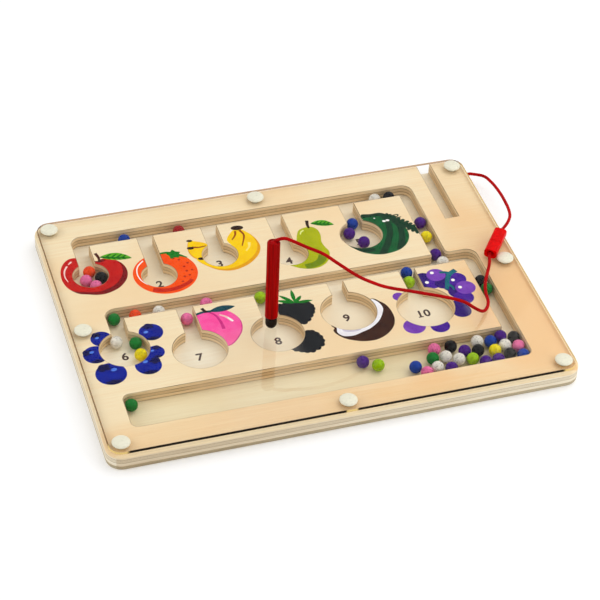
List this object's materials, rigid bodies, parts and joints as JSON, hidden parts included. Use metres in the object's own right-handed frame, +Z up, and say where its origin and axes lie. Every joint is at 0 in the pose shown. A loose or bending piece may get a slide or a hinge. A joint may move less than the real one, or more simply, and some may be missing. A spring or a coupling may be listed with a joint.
{
  "type": "magnetic maze board",
  "caption": "Wooden ball maze board under a clear cover, with numbered pockets linked by tracks, coloured balls, capped rivets and a corded magnetic pen on a clasp.",
  "frame": {"origin": "middle of the board's bottom face, on the surface that it lies on", "axes": "+X along the long side, the pen slot's and the cord's end at +X; +Y to the back edge, where the pen slot opens; +Z up through the clear cover"},
  "size_m": [0.3145, 0.22, 0.0783],
  "materials": {
    "base_wood": "sanded plywood",
    "maze_wood": "sanded plywood",
    "clear_acrylic": "clear, polished",
    "cream_cap": "satin",
    "red_lacquer": "gloss lacquer",
    "black_tip": "gloss",
    "magnet": "plated",
    "red_cord": "braided",
    "red_plastic": "moulded",
    "ball_red": "gloss paint",
    "ball_orange": "gloss paint",
    "ball_yellow": "gloss paint",
    "ball_lime": "gloss paint",
    "ball_green": "gloss paint",
    "ball_blue": "gloss paint",
    "ball_pink": "gloss paint",
    "ball_black": "gloss paint",
    "ball_white": "gloss paint",
    "ball_purple": "gloss paint"
  },
  "bodies": {
    "board": {"base_plate": "base_wood", "maze_layer": "maze_wood", "cover_sheet": "clear_acrylic", "rivet_1": "cream_cap", "rivet_2": "cream_cap", "rivet_3": "cream_cap", "rivet_4": "cream_cap", "rivet_5": "cream_cap", "rivet_6": "cream_cap", "rivet_7": "cream_cap", "rivet_8": "cream_cap", "clasp_socket": "red_plastic", "tether_cord": "red_cord"},
    "clasp_half": {"clasp_plug": "red_plastic"},
    "pen": {"pen_body": "red_lacquer", "pen_tip": "black_tip", "pen_magnet": "magnet", "pen_cord": "red_cord"},
    "ball_top_1_body": {"ball_top_1": "ball_blue"},
    "ball_top_2_body": {"ball_top_2": "ball_red"},
    "ball_top_3_body": {"ball_top_3": "ball_white"},
    "ball_top_4_body": {"ball_top_4": "ball_black"},
    "ball_upper_1_body": {"ball_upper_1": "ball_purple"},
    "ball_upper_2_body": {"ball_upper_2": "ball_yellow"},
    "ball_upper_3_body": {"ball_upper_3": "ball_purple"},
    "ball_middle_1_body": {"ball_middle_1": "ball_green"},
    "ball_middle_2_body": {"ball_middle_2": "ball_orange"},
    "ball_middle_3_body": {"ball_middle_3": "ball_white"},
    "ball_middle_4_body": {"ball_middle_4": "ball_pink"},
    "ball_middle_5_body": {"ball_middle_5": "ball_black"},
    "ball_middle_6_body": {"ball_middle_6": "ball_white"},
    "ball_lower_1_body": {"ball_lower_1": "ball_black"},
    "ball_lower_2_body": {"ball_lower_2": "ball_green"},
    "ball_tray_1_body": {"ball_tray_1": "ball_green"},
    "ball_tray_2_body": {"ball_tray_2": "ball_purple"},
    "ball_tray_3_body": {"ball_tray_3": "ball_lime"},
    "ball_neck1_1_body": {"ball_neck1_1": "ball_orange"},
    "ball_neck5_1_body": {"ball_neck5_1": "ball_blue"},
    "ball_neck7_1_body": {"ball_neck7_1": "ball_pink"},
    "ball_neck8_1_body": {"ball_neck8_1": "ball_lime"},
    "ball_neck10_1_body": {"ball_neck10_1": "ball_blue"},
    "ball_neck10_2_body": {"ball_neck10_2": "ball_lime"},
    "ball_pocket1_1_body": {"ball_pocket1_1": "ball_pink"},
    "ball_pocket1_2_body": {"ball_pocket1_2": "ball_black"},
    "ball_pocket1_3_body": {"ball_pocket1_3": "ball_pink"},
    "ball_pocket5_1_body": {"ball_pocket5_1": "ball_purple"},
    "ball_pocket5_2_body": {"ball_pocket5_2": "ball_purple"},
    "ball_pocket6_1_body": {"ball_pocket6_1": "ball_white"},
    "ball_pocket6_2_body": {"ball_pocket6_2": "ball_green"},
    "ball_pocket6_3_body": {"ball_pocket6_3": "ball_yellow"},
    "ball_heap_1_body": {"ball_heap_1": "ball_blue"},
    "ball_heap_2_body": {"ball_heap_2": "ball_green"},
    "ball_heap_3_body": {"ball_heap_3": "ball_purple"},
    "ball_heap_4_body": {"ball_heap_4": "ball_white"},
    "ball_heap_5_body": {"ball_heap_5": "ball_black"},
    "ball_heap_6_body": {"ball_heap_6": "ball_black"},
    "ball_heap_7_body": {"ball_heap_7": "ball_purple"},
    "ball_heap_8_body": {"ball_heap_8": "ball_yellow"},
    "ball_heap_9_body": {"ball_heap_9": "ball_white"},
    "ball_heap_10_body": {"ball_heap_10": "ball_purple"}
  },
  "joints": [
    {"name": "clasp_release", "type": "slide", "parent": "board", "child": "clasp_half", "axis": [-0.6074, -0.7944, 0], "range_m": [0, 0.012]},
    {"name": "pen_swing", "type": "hinge", "parent": "clasp_half", "child": "pen", "pos_m": [0.13211, 0.00449, 0.0171], "axis": [0, 0, 1], "range_deg": [-30, 20]},
    {"name": "ball_top_1_roll", "type": "slide", "parent": "board", "child": "ball_top_1_body", "axis": [-1, 0, 0], "range_m": [0, 0.0306]},
    {"name": "ball_top_2_roll", "type": "slide", "parent": "board", "child": "ball_top_2_body", "axis": [-1, 0, 0], "range_m": [0, 0.0284]},
    {"name": "ball_top_3_roll", "type": "slide", "parent": "board", "child": "ball_top_3_body", "axis": [-1, 0, 0], "range_m": [0, 0.1282]},
    {"name": "ball_top_4_roll", "type": "slide", "parent": "board", "child": "ball_top_4_body", "axis": [1, 0, 0], "range_m": [0, 0.0095]},
    {"name": "ball_upper_1_roll", "type": "slide", "parent": "board", "child": "ball_upper_1_body", "axis": [0, 1, 0], "range_m": [0, 0.022]},
    {"name": "ball_upper_2_roll", "type": "slide", "parent": "board", "child": "ball_upper_2_body", "axis": [0, 1, 0], "range_m": [0, 0.0062]},
    {"name": "ball_upper_3_roll", "type": "slide", "parent": "board", "child": "ball_upper_3_body", "axis": [0, 1, 0], "range_m": [0, 0.0101]},
    {"name": "ball_middle_1_roll", "type": "slide", "parent": "board", "child": "ball_middle_1_body", "axis": [1, 0, 0], "range_m": [0, 0.0052]},
    {"name": "ball_middle_2_roll", "type": "slide", "parent": "board", "child": "ball_middle_2_body", "axis": [1, 0, 0], "range_m": [0, 0.0069]},
    {"name": "ball_middle_3_roll", "type": "slide", "parent": "board", "child": "ball_middle_3_body", "axis": [1, 0, 0], "range_m": [0, 0.0225]},
    {"name": "ball_middle_4_roll", "type": "slide", "parent": "board", "child": "ball_middle_4_body", "axis": [1, 0, 0], "range_m": [0, 0.0264]},
    {"name": "ball_middle_5_roll", "type": "slide", "parent": "board", "child": "ball_middle_5_body", "axis": [1, 0, 0], "range_m": [0, 0.081]},
    {"name": "ball_middle_6_roll", "type": "slide", "parent": "board", "child": "ball_middle_6_body", "axis": [1, 0, 0], "range_m": [0, 0.0165]},
    {"name": "ball_lower_1_roll", "type": "slide", "parent": "board", "child": "ball_lower_1_body", "axis": [0, 1, 0], "range_m": [0, 0.0146]},
    {"name": "ball_lower_2_roll", "type": "slide", "parent": "board", "child": "ball_lower_2_body", "axis": [0, -1, 0], "range_m": [0, 0.039]},
    {"name": "ball_tray_1_roll", "type": "slide", "parent": "board", "child": "ball_tray_1_body", "axis": [0, -1, 0], "range_m": [0, 0.018]},
    {"name": "ball_tray_2_roll", "type": "slide", "parent": "board", "child": "ball_tray_2_body", "axis": [-1, 0, 0], "range_m": [0, 0.076]},
    {"name": "ball_tray_3_roll", "type": "slide", "parent": "board", "child": "ball_tray_3_body", "axis": [-1, 0, 0], "range_m": [0, 0.068]},
    {"name": "ball_neck1_1_roll", "type": "slide", "parent": "board", "child": "ball_neck1_1_body", "axis": [0, 1, 0], "range_m": [0, 0.017]},
    {"name": "ball_neck5_1_roll", "type": "slide", "parent": "board", "child": "ball_neck5_1_body", "axis": [0, 1, 0], "range_m": [0, 0.0122]},
    {"name": "ball_neck7_1_roll", "type": "slide", "parent": "board", "child": "ball_neck7_1_body", "axis": [0, -1, 0], "range_m": [0, 0.0328]},
    {"name": "ball_neck8_1_roll", "type": "slide", "parent": "board", "child": "ball_neck8_1_body", "axis": [0, -1, 0], "range_m": [0, 0.039]},
    {"name": "ball_neck10_1_roll", "type": "slide", "parent": "board", "child": "ball_neck10_1_body", "axis": [0, -1, 0], "range_m": [0, 0.029]},
    {"name": "ball_neck10_2_roll", "type": "slide", "parent": "board", "child": "ball_neck10_2_body", "axis": [0, -1, 0], "range_m": [0, 0.029]},
    {"name": "ball_pocket1_1_roll", "type": "slide", "parent": "board", "child": "ball_pocket1_1_body", "axis": [-1, 0, 0], "range_m": [0, 0.0035]},
    {"name": "ball_pocket1_2_roll", "type": "slide", "parent": "board", "child": "ball_pocket1_2_body", "axis": [-1, 0, 0], "range_m": [0, 0.00105]},
    {"name": "ball_pocket1_3_roll", "type": "slide", "parent": "board", "child": "ball_pocket1_3_body", "axis": [-1, 0, 0], "range_m": [0, 0.0035]},
    {"name": "ball_pocket5_1_roll", "type": "slide", "parent": "board", "child": "ball_pocket5_1_body", "axis": [0, -1, 0], "range_m": [0, 0.0055]},
    {"name": "ball_pocket5_2_roll", "type": "slide", "parent": "board", "child": "ball_pocket5_2_body", "axis": [1, 0, 0], "range_m": [0, 0.0075]},
    {"name": "ball_pocket6_1_roll", "type": "slide", "parent": "board", "child": "ball_pocket6_1_body", "axis": [0, -1, 0], "range_m": [0, 0.0205]},
    {"name": "ball_pocket6_2_roll", "type": "slide", "parent": "board", "child": "ball_pocket6_2_body", "axis": [-1, 0, 0], "range_m": [0, 0.0028]},
    {"name": "ball_pocket6_3_roll", "type": "slide", "parent": "board", "child": "ball_pocket6_3_body", "axis": [-1, 0, 0], "range_m": [0, 0.0034]},
    {"name": "ball_heap_1_roll", "type": "slide", "parent": "board", "child": "ball_heap_1_body", "axis": [-1, 0, 0], "range_m": [0, 0.06]},
    {"name": "ball_heap_2_roll", "type": "slide", "parent": "board", "child": "ball_heap_2_body", "axis": [-1, 0, 0], "range_m": [0, 0.06]},
    {"name": "ball_heap_3_roll", "type": "slide", "parent": "board", "child": "ball_heap_3_body", "axis": [-1, 0, 0], "range_m": [0, 0.056]},
    {"name": "ball_heap_4_roll", "type": "slide", "parent": "board", "child": "ball_heap_4_body", "axis": [-1, 0, 0], "range_m": [0, 0.056]},
    {"name": "ball_heap_5_roll", "type": "slide", "parent": "board", "child": "ball_heap_5_body", "axis": [-1, 0, 0], "range_m": [0, 0.052]},
    {"name": "ball_heap_6_roll", "type": "slide", "parent": "board", "child": "ball_heap_6_body", "axis": [-1, 0, 0], "range_m": [0, 0.048]},
    {"name": "ball_heap_7_roll", "type": "slide", "parent": "board", "child": "ball_heap_7_body", "axis": [-1, 0, 0], "range_m": [0, 0.044]},
    {"name": "ball_heap_8_roll", "type": "slide", "parent": "board", "child": "ball_heap_8_body", "axis": [-1, 0, 0], "range_m": [0, 0.044]},
    {"name": "ball_heap_9_roll", "type": "slide", "parent": "board", "child": "ball_heap_9_body", "axis": [-1, 0, 0], "range_m": [0, 0.04]},
    {"name": "ball_heap_10_roll", "type": "slide", "parent": "board", "child": "ball_heap_10_body", "axis": [-1, 0, 0], "range_m": [0, 0.04]}
  ],
  "couplings": [
    {"joint": "ball_tray_2_roll", "follows": "ball_heap_10_roll", "ratio": 1.9},
    {"joint": "ball_tray_3_roll", "follows": "ball_heap_10_roll", "ratio": 1.7},
    {"joint": "ball_neck10_1_roll", "follows": "ball_neck10_2_roll", "ratio": 1},
    {"joint": "ball_pocket1_2_roll", "follows": "ball_pocket1_1_roll", "ratio": 0.3},
    {"joint": "ball_pocket1_3_roll", "follows": "ball_pocket1_1_roll", "ratio": 1},
    {"joint": "ball_heap_1_roll", "follows": "ball_heap_10_roll", "ratio": 1.5},
    {"joint": "ball_heap_2_roll", "follows": "ball_heap_10_roll", "ratio": 1.5},
    {"joint": "ball_heap_3_roll", "follows": "ball_heap_10_roll", "ratio": 1.4},
    {"joint": "ball_heap_4_roll", "follows": "ball_heap_10_roll", "ratio": 1.4},
    {"joint": "ball_heap_5_roll", "follows": "ball_heap_10_roll", "ratio": 1.3},
    {"joint": "ball_heap_6_roll", "follows": "ball_heap_10_roll", "ratio": 1.2},
    {"joint": "ball_heap_7_roll", "follows": "ball_heap_10_roll", "ratio": 1.1},
    {"joint": "ball_heap_8_roll", "follows": "ball_heap_10_roll", "ratio": 1.1},
    {"joint": "ball_heap_9_roll", "follows": "ball_heap_10_roll", "ratio": 1}
  ]
}
